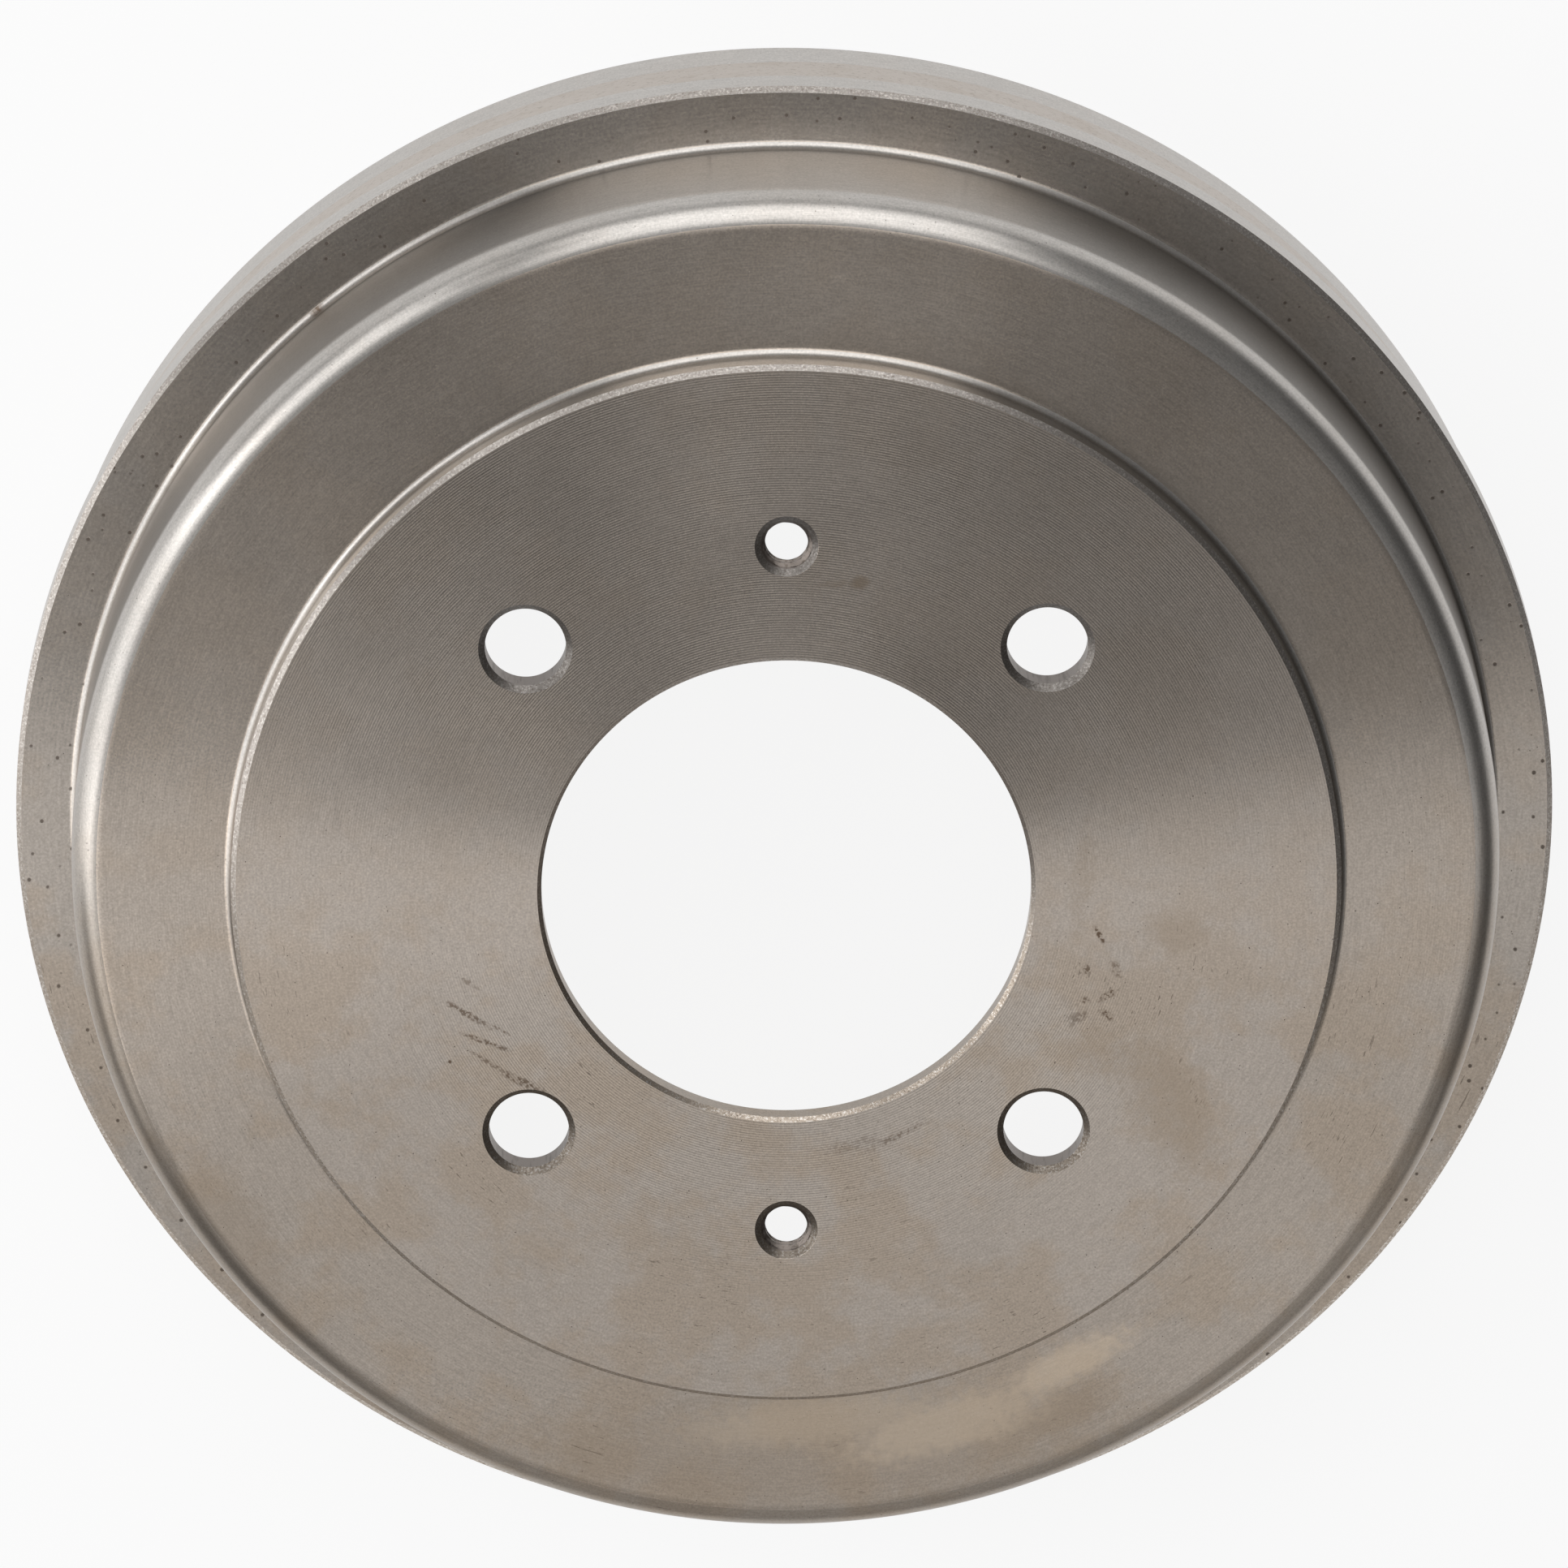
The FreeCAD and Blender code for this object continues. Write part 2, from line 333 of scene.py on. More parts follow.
@dataclass(frozen=True)
class TurnedFinish:
    """Bare iron as the turning tool leaves it: feed marks, a faint mottle, pores and stained spots, with
    painted glints and, where asked for, a painted sheen and painted shade.
    """

    name: str
    colour: tuple
    mark_contrast: float
    roughness: float = 0.235
    anisotropy: float = 0.78
    pitch: float = 0.4 * MM
    mark_fades_over: tuple = ()
    lean: float = 6.0
    mottle: float = 0.16
    pore_share: float = 0.5
    pore_cell: float = 1.8 * MM
    pore_size: float = 0.07
    warmth: float = 1.0
    # Over the lower half: a warm oil film, and painted shade that darkens it
    oil_film_and_shade: float = 0.0
    # The height under which the hat wall's colour gets painted shade
    painted_shade_below: float = 0.0
    stains_and_sheen: tuple = ()

    # The relief
    MARK_DEPTH = 0.004 * MM
    PORE_DEPTH = 0.01 * MM
    # Painted shade: the height of the hat wall's darkened part, its soft upper edge, and how much darker it
    # and the oily lower half are made
    PAINTED_SHADE_HEIGHT = 21 * MM
    PAINTED_SHADE_EDGE = 3 * MM
    PAINTED_SHADE_STRENGTH = 0.45
    LOWER_PAINTED_SHADE = 0.45

    def material(self) -> bpy.types.Material:
        """Builds the finish.

        Returns:
            The material.
        """
        tree = IronTree(self.name)
        rings = self.rings(tree)
        clouds = tree.noise(tree.place, 22.0 * MM, 4.0, 0.6) - 0.5
        grain = tree.noise(tree.place, 0.35 * MM, 2.0) - 0.5
        streaks = tree.noise(tree.drawn_out, 0.4 * MM, 2.0)
        patches = tree.noise(tree.place, 17.0 * MM, 5.0, 0.62)
        lower = tree.lower_half()
        warm = patches.fade(0.44, 0.60) * (lower * 0.4 + 0.15) * self.warmth + lower * self.oil_film_and_shade
        colour = tree.mix(self.colour, OIL_FILM, warm)
        shade = 1 + rings + clouds * self.mottle + grain * 0.6 + (streaks - 0.5) * 0.3
        # Painted shade: the lower half's colour is darkened
        shade = shade * (1 - lower * (self.oil_film_and_shade * self.LOWER_PAINTED_SHADE))
        if self.painted_shade_below:
            # Painted shade: the hat wall's colour is darkened from its foot up to the round shoulder, most
            # towards -X, for the dark reflection it shows there
            side = tree.x.fade(0.0, -50 * MM) * 0.6 + 0.4
            above = tree.z.above(self.painted_shade_below - self.PAINTED_SHADE_HEIGHT)
            under = tree.z.fade(self.painted_shade_below, self.painted_shade_below - self.PAINTED_SHADE_EDGE)
            shade = shade * (1 - under * (side * above) * self.PAINTED_SHADE_STRENGTH)
        colour = tree.add("ShaderNodeVectorMath", {"operation": "SCALE"}, {0: colour, "Scale": shade})
        pores = tree.pores(self.pore_cell, self.pore_share, self.pore_size)
        pores = pores.larger(tree.pores(1.2 * MM, 0.3, 0.09))
        dashes = streaks.fade(0.64, 0.70) * patches.fade(0.54, 0.64) * (lower * 0.6 + 0.1)
        # Painted glints: light grey specks in a tenth of the cells
        glints = tree.pores(2.6 * MM, 0.1, 0.035)
        dirt = pores.larger(dashes)
        colour = tree.mix(colour, PIT_BROWN, dirt * 0.75)
        colour = tree.mix(colour, GLINT_GREY, glints * 0.5)
        # Stained spots, and on the shelf the beige painted sheen
        for stain_or_sheen_colour, mask in self.stain_and_sheen_masks(tree).items():
            colour = tree.mix(colour, stain_or_sheen_colour, mask)
            dirt = dirt.larger(mask) if stain_or_sheen_colour == BROWN else dirt
        height = rings * self.MARK_DEPTH - pores * self.PORE_DEPTH
        height = height - tree.radius * math.tan(math.radians(self.lean))
        roughness = self.roughness + clouds * 0.05 + dirt * 0.08
        return tree.dress(colour, roughness, height, 1 - dirt * 0.2, self.anisotropy)

    def stain_and_sheen_masks(self, tree: IronTree) -> dict[tuple, Signal]:
        """The stained spots, and the painted sheen, of each colour.

        Args:
            tree: The finish that they are on.

        Returns:
            How much of each colour lies on each point.
        """
        masks = {}
        if self.stains_and_sheen:
            ragged = tree.noise(tree.place, 1.4 * MM, 3.0) * 1.1 - 0.55
            dots = tree.noise(tree.place, 0.55 * MM, 2.0).fade(0.46, 0.56)
        for marked_oval in self.stains_and_sheen:
            mask = marked_oval.mask(tree, ragged, dots)
            masks[marked_oval.colour] = masks[marked_oval.colour].larger(mask) if marked_oval.colour in masks else mask
        return masks

    def rings(self, tree: IronTree) -> Signal:
        """The feed marks, as a share of the colour's brightness.

        Args:
            tree: The finish that the marks are on.

        Returns:
            A value about 0, larger where the marks are plain to see.
        """
        marks = tree.math("SINE", tree.feed * (2 * math.pi / self.pitch))
        inputs = {"W": tree.feed, "Scale": 1 / self.pitch, "Detail": 2.0}
        uneven = (tree.add("ShaderNodeTexNoise", {"noise_dimensions": "1D"}, inputs) - 0.5) * 0.8
        patchy = tree.noise(tree.place, 12.0 * MM, 3.0).fade(0.25, 0.7) * 0.5 + 0.5
        rings = (marks + uneven) * patchy * self.mark_contrast
        if not self.mark_fades_over:
            return rings
        # The marks' contrast is painted by side, as the light shows them: strongest on the upper half,
        # faint along the middle and over the outer part of the lower half
        side = tree.y / tree.radius
        near, far = self.mark_fades_over
        lower = (side * -1).fade(0.05, 0.6) * tree.radius.fade(far, near) * 0.6
        return rings * (side.fade(-0.02, 0.7) + lower)


@dataclass(frozen=True)
class GrainyEdgeFinish:
    """A bevel whose edge grain is torn open, bright with dark specks."""

    name: str = Surface.EDGE.value
    # Below 1, painted shade that darkens the bevel's colours
    brightness: float = 1.0
    roughness: float = 0.3

    PLAIN, TORN = (0.42, 0.385, 0.355), (0.66, 0.62, 0.58)
    OPEN_GRAIN, OILED = (0.22, 0.18, 0.15), (0.40, 0.335, 0.27)
    GRAIN_DEPTH = 0.022 * MM

    def material(self) -> bpy.types.Material:
        """Builds the finish.

        Returns:
            The material.
        """
        tree = IronTree(self.name)
        coarse = tree.noise(tree.place, 0.36 * MM, 3.0, 0.7)
        bright, dark = coarse.fade(0.52, 0.64), coarse.fade(0.46, 0.34)
        plain, torn, open_grain, oiled = (
            tuple(part * self.brightness for part in colour) + (1.0,)
            for colour in (self.PLAIN, self.TORN, self.OPEN_GRAIN, self.OILED))
        plain = tree.mix(plain, oiled, tree.lower_half() * 0.8)
        colour = tree.mix(tree.mix(plain, torn, bright), open_grain, dark * 0.65)
        return tree.dress(colour, self.roughness + dark * 0.2, (coarse - 0.5) * self.GRAIN_DEPTH)


@dataclass(frozen=True)
class CastSkinFinish:
    """The rough sand-cast skin that the tool didn't reach."""

    name: str = Surface.SKIN.value

    BARE, RUSTED, OPENED = (0.455, 0.405, 0.36, 1.0), (0.34, 0.27, 0.20, 1.0), (0.14, 0.11, 0.085, 1.0)
    SAND_DEPTH, LUMP_DEPTH, PIT_DEPTH = 0.07 * MM, 0.12 * MM, 0.08 * MM

    def material(self) -> bpy.types.Material:
        """Builds the finish.

        Returns:
            The material.
        """
        tree = IronTree(self.name)
        sand = tree.noise(tree.place, 0.8 * MM, 4.0, 0.65)
        lumps = tree.noise(tree.place, 6.0 * MM, 2.0)
        pits = tree.pores(1.5 * MM, 0.14, 0.14) * 0.7
        dark = sand.fade(0.47, 0.33) * 0.3
        rust = lumps.fade(0.5, 0.75) * 0.25
        colour = tree.mix(tree.mix(self.BARE, self.RUSTED, rust), self.OPENED, dark.larger(pits))
        height = (sand - 0.5) * self.SAND_DEPTH + (lumps - 0.5) * self.LUMP_DEPTH - pits * self.PIT_DEPTH
        return tree.dress(colour, 0.42 + dark * 0.25, height, 1 - dark * 0.4)


@dataclass(frozen=True)
class DrilledFinish:
    """The wall of a drilled or tapped hole, scored along its depth, its colours darkened as painted shade.
    """

    name: str = Surface.DRILLED.value

    # Both colours are dark as painted shade inside the hole
    CLEAN, SCORED = (0.19, 0.165, 0.148, 1.0), (0.08, 0.065, 0.052, 1.0)
    SCORE_DEPTH = 0.05 * MM
    DRAWN_DOWN = (1.0, 1.0, 0.12)

    def material(self) -> bpy.types.Material:
        """Builds the finish.

        Returns:
            The material.
        """
        tree = IronTree(self.name)
        inputs = {0: tree.place, 1: self.DRAWN_DOWN}
        place = tree.add("ShaderNodeVectorMath", {"operation": "MULTIPLY"}, inputs)
        scoring = tree.noise(place, 0.7 * MM, 3.0)
        colour = tree.mix(self.CLEAN, self.SCORED, scoring.fade(0.5, 0.3) * 0.7)
        return tree.dress(colour, 0.4, (scoring - 0.5) * self.SCORE_DEPTH)


class Edge(Enum):
    """How a corner of the section is finished."""

    SHARP = "sharp"
    ROUND = "round"
    BEVEL = "bevel"


@dataclass(frozen=True)
class Corner:
    """One corner of half the section."""

    radius: float
    height: float
    edge: Edge = Edge.SHARP
    size: float = 0.0
    rows_after: int = 1

    ARC_STEP = math.radians(9)
    SUPPORT = 0.25 * MM

    def spot(self) -> Vector:
        """The corner itself, in the XZ plane."""
        return Vector((self.radius, 0.0, self.height))

    def points(self, before: Vector, after: Vector) -> list[Vector]:
        """The outline's points at this corner.

        Args:
            before: The corner before this one.
            after: The corner after this one.

        Returns:
            One point, a bevel's two, or an arc's with one more on each straight side, which keeps the
            shading of the flats beside it flat.
        """
        spot = self.spot()
        if self.edge is Edge.SHARP:
            return [spot]
        back = (before - spot).normalized()
        ahead = (after - spot).normalized()
        if self.edge is Edge.BEVEL:
            return [spot + back * self.size, spot + ahead * self.size]
        half_angle = back.angle(ahead) / 2
        setback = self.size / math.tan(half_angle)
        start = spot + back * setback
        centre = spot + (back + ahead).normalized() * (self.size / math.sin(half_angle))
        sweep = math.pi - 2 * half_angle
        steps = max(2, round(sweep / self.ARC_STEP))
        arc = [centre + (start - centre) * math.cos(sweep * step / steps)
               - back * (self.size * math.sin(sweep * step / steps)) for step in range(steps + 1)]
        support = [start + back * self.SUPPORT, spot + ahead * (setback + self.SUPPORT)]
        return [support[0], *arc, support[1]]


@dataclass(frozen=True)
class Zone:
    """A part of the section that has one kind of surface."""

    surface: Surface
    inner: float
    outer: float
    low: float
    high: float


@dataclass
class TurnedSection:
    """Half the section of the drum, from the centre bore out to the flange and back inside."""

    height: float
    flange_radius: float
    bore_radius: float
    friction_radius: float
    hat_wall: float = 10.2 * MM
    hat_height: float = 31.0 * MM
    front_land: float = 6.0 * MM
    lip_step: float = 2.3 * MM
    lip_width: float = 8.6 * MM
    skin_step: float = 0.25 * MM
    lip_wall: float = 4.7 * MM
    groove_width: float = 5.0 * MM
    groove_depth: float = 7.0 * MM
    shelf_width: float = 25.2 * MM
    face_step: float = 5.2 * MM
    face_web: float = 4.8 * MM
    shelf_web: float = 6.0 * MM
    dish_run: float = 10.0 * MM
    hub_seat_radius: float = 73.0 * MM
    hub_seat_depth: float = 0.6 * MM
    relief_depth: float = 0.8 * MM
    friction_width: float = 41.0 * MM
    shoulder_round: float = 4.8 * MM
    tool_round: float = 1.3 * MM
    cast_round: float = 3.5 * MM
    groove_round: float = 1.0 * MM
    face_bevel: float = 0.8 * MM
    flange_bevel: float = 0.85 * MM
    lip_bevel: float = 0.4 * MM
    entry_bevel: float = 1.0 * MM
    bore_bevel_front: float = 0.65 * MM
    bore_bevel_back: float = 1.2 * MM

    @classmethod
    def from_frame(cls, record: dict) -> "TurnedSection":
        """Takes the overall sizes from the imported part.

        Args:
            record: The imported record, whose mounts hold the two bores.

        Returns:
            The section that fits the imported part.
        """
        low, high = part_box(NODE)
        radii = {mount["name"]: mount["dims"].get("r_mm", 0) * MM for mount in record["mounts"]}
        return cls(high.z - low.z, high.x, radii["hub_bore"], radii["friction_surface"])

    def __post_init__(self) -> None:
        """Works out the radii and heights that follow from the sizes."""
        self.hat_radius = self.friction_radius + self.hat_wall
        self.lip_radius = self.flange_radius - self.lip_step
        self.groove_outer = self.lip_radius - self.lip_wall
        self.groove_inner = self.groove_outer - self.groove_width
        self.relief_radius = self.friction_radius + self.relief_depth
        self.step_radius = self.hat_radius - self.shelf_width
        self.shelf_height = self.height - self.face_step
        self.flange_front = self.height - self.hat_height
        self.belt_top = self.flange_front - self.front_land
        self.shelf_inside = self.shelf_height - self.shelf_web
        self.seat_height = self.height - self.face_web
        self.skin_height = self.seat_height - self.hub_seat_depth

    def corners(self) -> list[Corner]:
        """The corners in order, outside first, then the drip groove, then the inside.

        Returns:
            The corners of the closed outline.
        """
        sharp, rounded, bevel = Edge.SHARP, Edge.ROUND, Edge.BEVEL
        return [Corner(*row) for row in (
            (self.bore_radius, self.height, bevel, self.bore_bevel_front),
            (self.step_radius, self.height, bevel, self.face_bevel),
            (self.step_radius, self.shelf_height, rounded, self.tool_round),
            (self.hat_radius, self.shelf_height, rounded, self.shoulder_round),
            (self.hat_radius, self.flange_front, rounded, self.tool_round),
            (self.flange_radius, self.flange_front, bevel, self.flange_bevel),
            (self.flange_radius, self.belt_top),
            (self.flange_radius - self.skin_step, self.belt_top, sharp, 0.0, 12),
            (self.lip_radius + self.skin_step, self.lip_width),
            (self.lip_radius, self.lip_width),
            (self.lip_radius, 0.0, bevel, self.lip_bevel),
            (self.groove_outer, 0.0),
            (self.groove_outer, self.groove_depth, rounded, self.groove_round),
            (self.groove_inner, self.groove_depth, rounded, self.groove_round),
            (self.groove_inner, 0.0),
            (self.friction_radius, 0.0, bevel, self.entry_bevel),
            (self.friction_radius, self.friction_width),
            (self.relief_radius, self.friction_width),
            (self.relief_radius, self.shelf_inside, rounded, self.cast_round, 8),
            (self.step_radius, self.shelf_inside, rounded, self.cast_round, 6),
            (self.step_radius - self.dish_run, self.skin_height, sharp, 0.0, 3),
            (self.hub_seat_radius, self.skin_height),
            (self.hub_seat_radius, self.seat_height),
            (self.bore_radius, self.seat_height, bevel, self.bore_bevel_back),
        )]

    def outline(self) -> list[Vector]:
        """The closed outline, with its rounds, bevels and the extra rows on rough stretches.

        Returns:
            The points in order.
        """
        corners = self.corners()
        spots = [corner.spot() for corner in corners]
        groups = [corner.points(spots[index - 1], spots[(index + 1) % len(spots)])
                  for index, corner in enumerate(corners)]
        points = []
        for index, group in enumerate(groups):
            points += group
            following = groups[(index + 1) % len(groups)][0]
            rows = corners[index].rows_after
            points += [group[-1].lerp(following, row / rows) for row in range(1, rows)]
        return points

    def zones(self) -> list[Zone]:
        """Where each kind of surface lies. What no zone holds is turned wall.

        Returns:
            The zones, each a box of radius and height.
        """
        slack = 0.05 * MM
        face, shelf, flange = self.height, self.shelf_height, self.flange_front
        return [
            Zone(Surface.FACE, self.bore_radius, self.step_radius, face - slack, face + slack),
            Zone(Surface.SHELF, self.step_radius, self.hat_radius, shelf - slack, shelf + slack),
            Zone(Surface.FLANGE, self.hat_radius, self.flange_radius, flange - slack, flange + slack),
            self._bevel_zone(self.step_radius, face, self.face_bevel, -1),
            self._bevel_zone(self.bore_radius, face, self.bore_bevel_front, 1),
            self._bevel_zone(self.flange_radius, flange, self.flange_bevel, -1),
            Zone(Surface.SKIN, self.lip_radius, self.flange_radius - slack,
                 self.lip_width - slack, self.belt_top + slack),
            Zone(Surface.SKIN, self.hub_seat_radius, self.relief_radius - slack,
                 self.friction_width, self.shelf_height - slack),
        ]

    @staticmethod
    def _bevel_zone(radius: float, height: float, size: float, side: int) -> Zone:
        """The zone of a bevel below a corner, on the outer side of it for 1 and on the inner for -1."""
        inner, outer = sorted((radius, radius + side * size))
        return Zone(Surface.EDGE, inner, outer, height - size, height - size / 4)


def put_in_scene(name: str, data: bpy.types.ID) -> bpy.types.Object:
    """Makes an object at the origin and links it to the scene.

    Args:
        name: The object's name.
        data: Its mesh, lamp or camera.

    Returns:
        The object.
    """
    thing = bpy.data.objects.new(name, data)
    bpy.context.scene.collection.objects.link(thing)
    return thing


def turned_mesh(name: str, heights: list[float], radius_at: Callable[[float, float], float],
                segments: int, edge_above: float) -> bpy.types.Mesh:
    """A closed cutter about the Z axis.

    Args:
        name: The mesh's name.
        heights: The heights of its rings, from the bottom up.
        radius_at: Gives the radius at an angle and a height.
        segments: How many points a ring has.
        edge_above: Rows above this height cut a grainy edge, and the others a drilled wall.

    Returns:
        The cutter, each face with the material index of one of its two surfaces.
    """
    angles = [2 * math.pi * segment / segments for segment in range(segments)]
    points = [(radius_at(angle, height) * math.cos(angle),
               radius_at(angle, height) * math.sin(angle), height)
              for height in heights for angle in angles]
    faces = []
    for row in range(len(heights) - 1):
        for segment in range(segments):
            following = (segment + 1) % segments
            low, high = row * segments, (row + 1) * segments
            faces.append((low + segment, low + following, high + following, high + segment))
    top = (len(heights) - 1) * segments
    faces.append(tuple(reversed(range(segments))))
    faces.append(tuple(range(top, top + segments)))
    mesh = bpy.data.meshes.new(name)
    mesh.from_pydata(points, [], faces)
    for polygon in mesh.polygons:
        polygon.material_index = int(polygon.center.z > edge_above)
    return mesh


@dataclass
class StudDrill:
    """The drill and countersink that cut a wheel stud's hole."""

    hole_radius: float
    face_height: float
    web: float
    bevel: float = 1.0 * MM
    overlap: float = 1.0 * MM
    segments: int = 96

    def radius_at(self, _: float, height: float) -> float:
        """The hole's radius, and the bevel's above it, the same at every angle."""
        return self.hole_radius + max(0.0, height - (self.face_height - self.bevel))

    def mesh(self) -> bpy.types.Mesh:
        """Builds the cutter.

        Returns:
            The cutter, standing on the drum's axis.
        """
        bevel_start = self.face_height - self.bevel
        heights = [self.face_height - self.web - self.overlap, bevel_start, self.face_height + self.overlap]
        return turned_mesh("stud_drill", heights, self.radius_at, self.segments, bevel_start)


@dataclass
class JackTap:
    """The tap and countersinks that cut a threaded jacking hole."""

    minor_radius: float
    face_height: float
    web: float
    major_radius: float = 4.0 * MM
    pitch: float = 1.25 * MM
    sink_radius: float = 4.95 * MM
    back_sink_radius: float = 4.3 * MM
    overlap: float = 0.8 * MM
    segments: int = 72
    rows_per_turn: int = 12

    # Shares of the pitch that the flat crest and the flat root take
    CREST_FLAT = 1 / 4
    ROOT_FLAT = 1 / 8

    def thread_depth(self, angle: float, height: float) -> float:
        """How far the thread is cut at a place.

        Args:
            angle: The angle round the hole.
            height: The height in the frame.

        Returns:
            0 on a crest and 1 on a root.
        """
        turn = (height / self.pitch - angle / (2 * math.pi)) % 1.0
        from_root = abs(turn - 0.5)
        flank_start = (1 - self.CREST_FLAT) / 2
        flank_end = self.ROOT_FLAT / 2
        return min(1.0, max(0.0, (flank_start - from_root) / (flank_start - flank_end)))

    def radius_at(self, angle: float, height: float) -> float:
        """The cutter's radius, with the thread and both countersinks.

        Args:
            angle: The angle round the hole.
            height: The height in the frame.

        Returns:
            The largest of the three.
        """
        groove = (self.major_radius - self.minor_radius) * self.thread_depth(angle, height)
        front = self.sink_radius - (self.face_height - height)
        back = self.back_sink_radius - (height - self.face_height + self.web)
        return max(self.minor_radius + groove, front, back)

    def mesh(self) -> bpy.types.Mesh:
        """Builds the cutter.

        Returns:
            The cutter, standing on the drum's axis.
        """
        low = self.face_height - self.web - self.overlap
        high = self.face_height + self.overlap
        rows = math.ceil((high - low) / self.pitch * self.rows_per_turn)
        heights = [low + (high - low) * row / rows for row in range(rows + 1)]
        sink_start = self.face_height - (self.sink_radius - self.major_radius)
        return turned_mesh("jack_tap", heights, self.radius_at, self.segments, sink_start)


@dataclass
class HolePattern:
    """Equal holes on the bolt circle."""

    name: str
    cutter: bpy.types.Mesh
    circle_radius: float
    count: int
    start_angle: float

    def inputs(self, cutter: bpy.types.Object) -> dict[str, tuple]:
        """The kind of socket and the value of each input that the pattern has in the geometry tree."""
        values = {"count": ("Int", self.count), "circle": ("Float", self.circle_radius),
                  "start": ("Float", self.start_angle), "cutter": ("Object", cutter)}
        return {f"{self.name} {name}": value for name, value in values.items()}


class TurningTree(Tree):
    """The geometry tree that turns the section, roughens its cast skin, cuts the holes and paints it."""

    # The blotches of the cast skin
    SKIN_GRAIN = 4.5 * MM
    SKIN_DETAIL = 3.0
    SKIN_HARSHNESS = 0.6

    def __init__(self, section: TurnedSection, finishes: Finishes, inputs: dict[str, tuple]) -> None:
        """Makes the node group with its named inputs.

        Args:
            section: The section that is turned.
            finishes: The material of each kind of surface.
            inputs: The kind of socket and the value of each input.
        """
        group = bpy.data.node_groups.new("Turn and drill", "GeometryNodeTree")
        for direction in ("INPUT", "OUTPUT"):
            group.interface.new_socket("Geometry", in_out=direction, socket_type="NodeSocketGeometry")
        for name, (kind, _) in inputs.items():
            group.interface.new_socket(name, in_out="INPUT", socket_type="NodeSocket" + kind)
        super().__init__(group)
        self.section = section
        self.finishes = finishes
        self.given = self.parts("NodeGroupInput")

    def fill(self, patterns: list[HolePattern]) -> None:
        """Adds the nodes that lead from the bare section to the finished casting.

        Args:
            patterns: The holes to cut.
        """
        solid = self._painted(self._roughened(self._turned()), Surface.WALL)
        cutters = [self._hole_cutters(pattern.name) for pattern in patterns]
        solid = self.add("GeometryNodeMeshBoolean", {"operation": "DIFFERENCE", "solver": "MANIFOLD"},
                         {"Mesh 1": solid, "Mesh 2": cutters})
        sharp = self.add("GeometryNodeInputMeshEdgeAngle").above(self.given["Sharp angle"])
        solid = self.add("GeometryNodeSetShadeSmooth", {"domain": "FACE"}, {0: solid, "Shade Smooth": True})
        solid = self.add("GeometryNodeSetShadeSmooth", {"domain": "EDGE"},
                         {0: solid, "Selection": sharp, "Shade Smooth": False})
        solid = self.add("GeometryNodeRealizeInstances", None, {0: solid})
        for zone in self.section.zones():
            solid = self._painted(solid, zone.surface, self._inside(zone))
        self.add("NodeGroupOutput", None, {"Geometry": solid})

    def _painted(self, solid: Signal, surface: Surface, where: Value = True) -> Signal:
        """Gives a kind of surface's finish to the whole solid, or to a part of it."""
        inputs = {"Geometry": solid, "Selection": where, "Material": self.finishes[surface]}
        return self.add("GeometryNodeSetMaterial", None, inputs)

    def _turned(self) -> Signal:
        """Sweeps the section round a circle.

        Returns:
            The turned solid.
        """
        guide_radius = self.section.friction_radius
        profile = self.add("GeometryNodeMeshToCurve", None, {0: self.given["Geometry"]})
        across, _, height = self._spot()
        flat = self.add("ShaderNodeCombineXYZ", None, {"X": across - guide_radius, "Y": 0 - height})
        profile = self.add("GeometryNodeSetPosition", None, {"Geometry": profile, "Position": flat})
        guide = self.add("GeometryNodeCurvePrimitiveCircle", None,
                         {"Resolution": self.given["Segments"], "Radius": guide_radius})
        return self.add("GeometryNodeCurveToMesh", None, {"Curve": guide, "Profile Curve": profile})

    def _spot(self) -> list[Signal]:
        """The X, Y and Z of each point or face."""
        return [*self.parts("ShaderNodeSeparateXYZ", {0: self.add("GeometryNodeInputPosition")}).values()]

    def _inside(self, zone: Zone) -> Signal:
        """1 on the points or faces that lie in a zone, and 0 elsewhere.

        Args:
            zone: The zone.

        Returns:
            The test.
        """
        x, y, height = self._spot()
        radius = self.math("SQRT", x * x + y * y)
        return (radius.above(zone.inner) * radius.below(zone.outer)
                * height.above(zone.low) * height.below(zone.high))

    def _roughened(self, solid: Signal) -> Signal:
        """Roughens the cast skin between the turned bands and inside.

        Args:
            solid: The turned solid.

        Returns:
            The solid with its rough skin.
        """
        place = self.add("GeometryNodeInputPosition")
        blotches = self.noise(place, self.SKIN_GRAIN, self.SKIN_DETAIL, self.SKIN_HARSHNESS)
        relief = (blotches - 0.5) * self.given["Skin roughness"] * 2
        offset = self.add("ShaderNodeVectorMath", {"operation": "SCALE"},
                          {0: self.add("GeometryNodeInputNormal"), "Scale": relief})
        for zone in self.section.zones():
            if zone.surface is Surface.SKIN:
                solid = self.add("GeometryNodeSetPosition", None,
                                 {"Geometry": solid, "Selection": self._inside(zone), "Offset": offset})
        return solid

    def _hole_cutters(self, name: str) -> Signal:
        """Sets a pattern's cutter at each of its holes.

        Args:
            name: The pattern's name.

        Returns:
            The cutters as one mesh.
        """
        parts = ("count", "circle", "start", "cutter")
        count, circle, start, cutter = (self.given[f"{name} {part}"] for part in parts)
        angle = start + self.add("GeometryNodeInputIndex") * (2 * math.pi) / count
        place = self.add("ShaderNodeCombineXYZ", None, {"X": self.math("COSINE", angle) * circle,
                                                        "Y": self.math("SINE", angle) * circle})
        ring = self.add("GeometryNodePoints", None, {"Count": count, "Position": place})
        shape = self.add("GeometryNodeObjectInfo", {"transform_space": "ORIGINAL"},
                         {"Object": cutter}, "Geometry")
        placed = self.add("GeometryNodeInstanceOnPoints", None, {"Points": ring, "Instance": shape})
        return self.add("GeometryNodeRealizeInstances", None, {0: placed})


